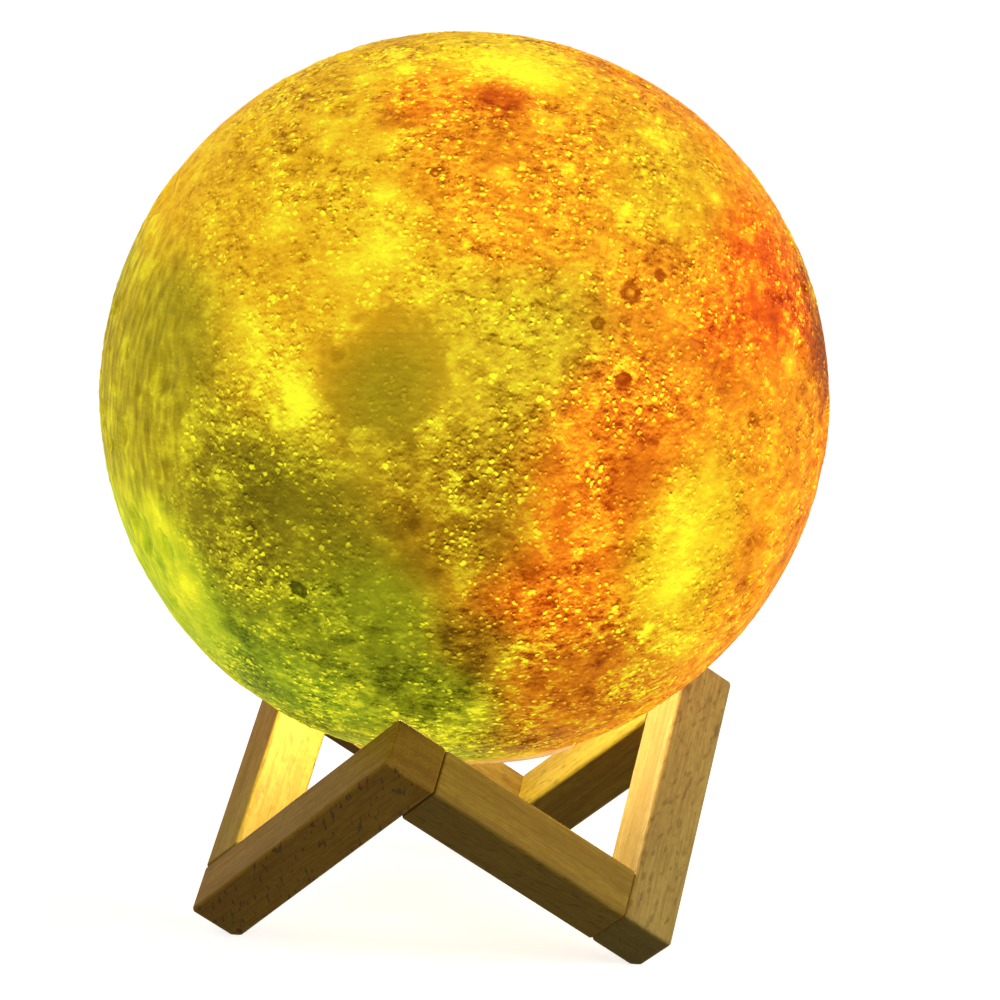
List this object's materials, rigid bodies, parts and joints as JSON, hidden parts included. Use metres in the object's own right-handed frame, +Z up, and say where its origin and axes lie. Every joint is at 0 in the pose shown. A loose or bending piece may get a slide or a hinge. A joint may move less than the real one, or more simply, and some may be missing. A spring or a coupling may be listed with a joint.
{
  "type": "moon lamp",
  "caption": "Glowing cratered ball lamp with a twist-out rechargeable light unit, resting on a zigzag stand of square wooden rails.",
  "frame": {"origin": "on the table, in the middle of the stand's three feet and under the ball's centre", "axes": "+Z up; -Y towards the stand's front peak; +X towards its right foot"},
  "size_m": [0.15, 0.15, 0.1855],
  "materials": {
    "beech": "oiled",
    "beech_dowel": "smooth",
    "moon_print": "matte",
    "white_plastic": "satin",
    "housing_plastic": "satin",
    "chrome_ring": "polished",
    "steel_screw": "plated",
    "socket_steel": "satin",
    "black_plastic": "matte",
    "circuit_green": "solder mask",
    "circuit_white": "solder mask",
    "chip_black": "matte",
    "connector_cream": "matte",
    "cell_foil": "foil",
    "foam": "foam",
    "lead_red": "matte",
    "wire_ribbon": "matte",
    "led_package": "gloss",
    "frosted_dome": "frosted",
    "indicator_clear": "clear"
  },
  "bodies": {
    "stand": {"front_left_rail": "beech", "front_right_rail": "beech", "right_rail": "beech", "back_right_rail": "beech", "back_left_rail": "beech", "left_rail": "beech", "peak_dowels": "beech_dowel", "foot_dowels": "beech_dowel"},
    "moon": {"moon_shell": "moon_print", "shell_collar": "white_plastic"},
    "light_base": {"base_plate": "white_plastic", "touch_ring": "chrome_ring", "light_housing": "housing_plastic", "base_screws": "steel_screw", "board_screws": "steel_screw", "led_board_screws": "steel_screw", "control_board": "circuit_green", "board_parts": "chip_black", "battery_connector": "connector_cream", "charging_socket": "socket_steel", "socket_tongue": "black_plastic", "button_switch": "chip_black", "indicator_lens": "indicator_clear", "indicator_led": "led_package", "battery_cell": "cell_foil", "battery_pad": "foam", "battery_leads": "lead_red", "led_board": "circuit_white", "led_chips": "led_package", "remote_receiver": "black_plastic", "led_wires": "wire_ribbon", "diffuser_dome": "frosted_dome"},
    "button": {"mode_button": "housing_plastic", "switch_plunger": "black_plastic"}
  },
  "joints": [
    {"name": "moon_lift", "type": "slide", "parent": "stand", "child": "moon", "axis": [0, 0, 1], "range_m": [0, 0.1]},
    {"name": "base_twist", "type": "hinge", "parent": "moon", "child": "light_base", "pos_m": [0, 0, 0.03861], "axis": [0, 0, -1], "range_deg": [0, 45]},
    {"name": "button_press", "type": "slide", "parent": "light_base", "child": "button", "axis": [0, 0, 1], "range_m": [0, 0.0005], "stiffness_N_per_m": 1500, "springref_m": -0.0005}
  ]
}
